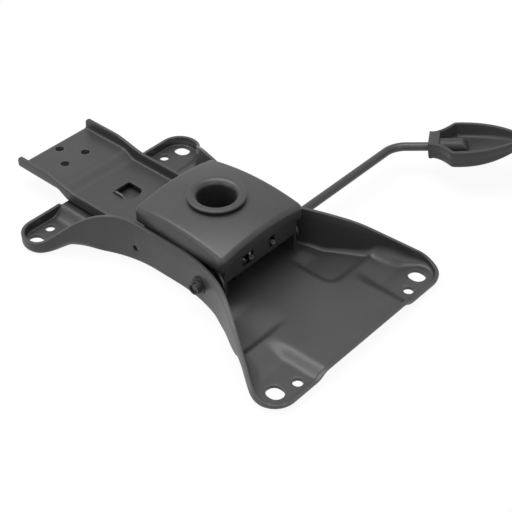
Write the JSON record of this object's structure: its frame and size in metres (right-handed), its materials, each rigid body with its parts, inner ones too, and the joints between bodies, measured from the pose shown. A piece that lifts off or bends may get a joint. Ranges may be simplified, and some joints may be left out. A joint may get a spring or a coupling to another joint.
{
  "type": "office chair tilt mechanism",
  "caption": "Pressed-steel chair tilt mechanism with gas-spring socket, sprung pivoting housing, back-upright channel and a bent side lever with paddle.",
  "frame": {"origin": "on the gas-spring socket's axis at the mouth of its straight land", "axes": "+Z out of the socket's mouth (down in use, up as it lies), +X to the seat's front, +Y to the lever side"},
  "size_m": [0.3205, 0.331, 0.0598],
  "materials": {
    "powder_coat": "semi-gloss powder coat",
    "lever_coat": "semi-gloss",
    "black_plastic": "fine texture",
    "pivot_steel": "dark phosphate",
    "plated_steel": "zinc plated",
    "spring_steel": "oiled wire",
    "nylon": "black nylon",
    "rubber": "matt"
  },
  "bodies": {
    "seat": {"seat_plate": "powder_coat", "back_bracket": "powder_coat", "bracket_welds": "powder_coat", "back_nuts": "pivot_steel", "pivot_bush_near": "nylon", "pivot_bush_far": "nylon", "tilt_stop_pads": "rubber"},
    "housing": {"housing_cap": "powder_coat", "pivot_bracket": "powder_coat", "gas_spring_socket": "powder_coat", "pivot_stub_near": "pivot_steel", "pivot_stub_far": "pivot_steel", "thrust_washer_near": "plated_steel", "thrust_washer_far": "plated_steel", "tilt_spring_near": "spring_steel", "tilt_spring_far": "spring_steel", "rest_stop_feet": "rubber"},
    "lock": {"lock_plate": "plated_steel", "lock_pin": "plated_steel"},
    "lever": {"lever_rod": "lever_coat", "lever_paddle": "black_plastic", "release_tongue": "plated_steel", "spring_sleeve_near": "nylon", "spring_sleeve_far": "nylon", "rod_clips": "plated_steel"}
  },
  "joints": [
    {"name": "tilt", "type": "hinge", "parent": "seat", "child": "housing", "pos_m": [0.0275, 0, -0.0349], "axis": [0, -1, 0], "range_deg": [0, 12], "stiffness_Nm_per_rad": 30, "springref_deg": -5.73, "deforming": ["tilt_spring_near", "tilt_spring_far"]},
    {"name": "lock_slide", "type": "slide", "parent": "housing", "child": "lock", "axis": [0, 1, 0], "range_m": [0, 0.005]},
    {"name": "lever_lift", "type": "hinge", "parent": "lock", "child": "lever", "pos_m": [0.0275, 0, -0.0349], "axis": [0, 1, 0], "range_deg": [0, 8], "stiffness_Nm_per_rad": 0.5, "springref_deg": -5.73}
  ]
}
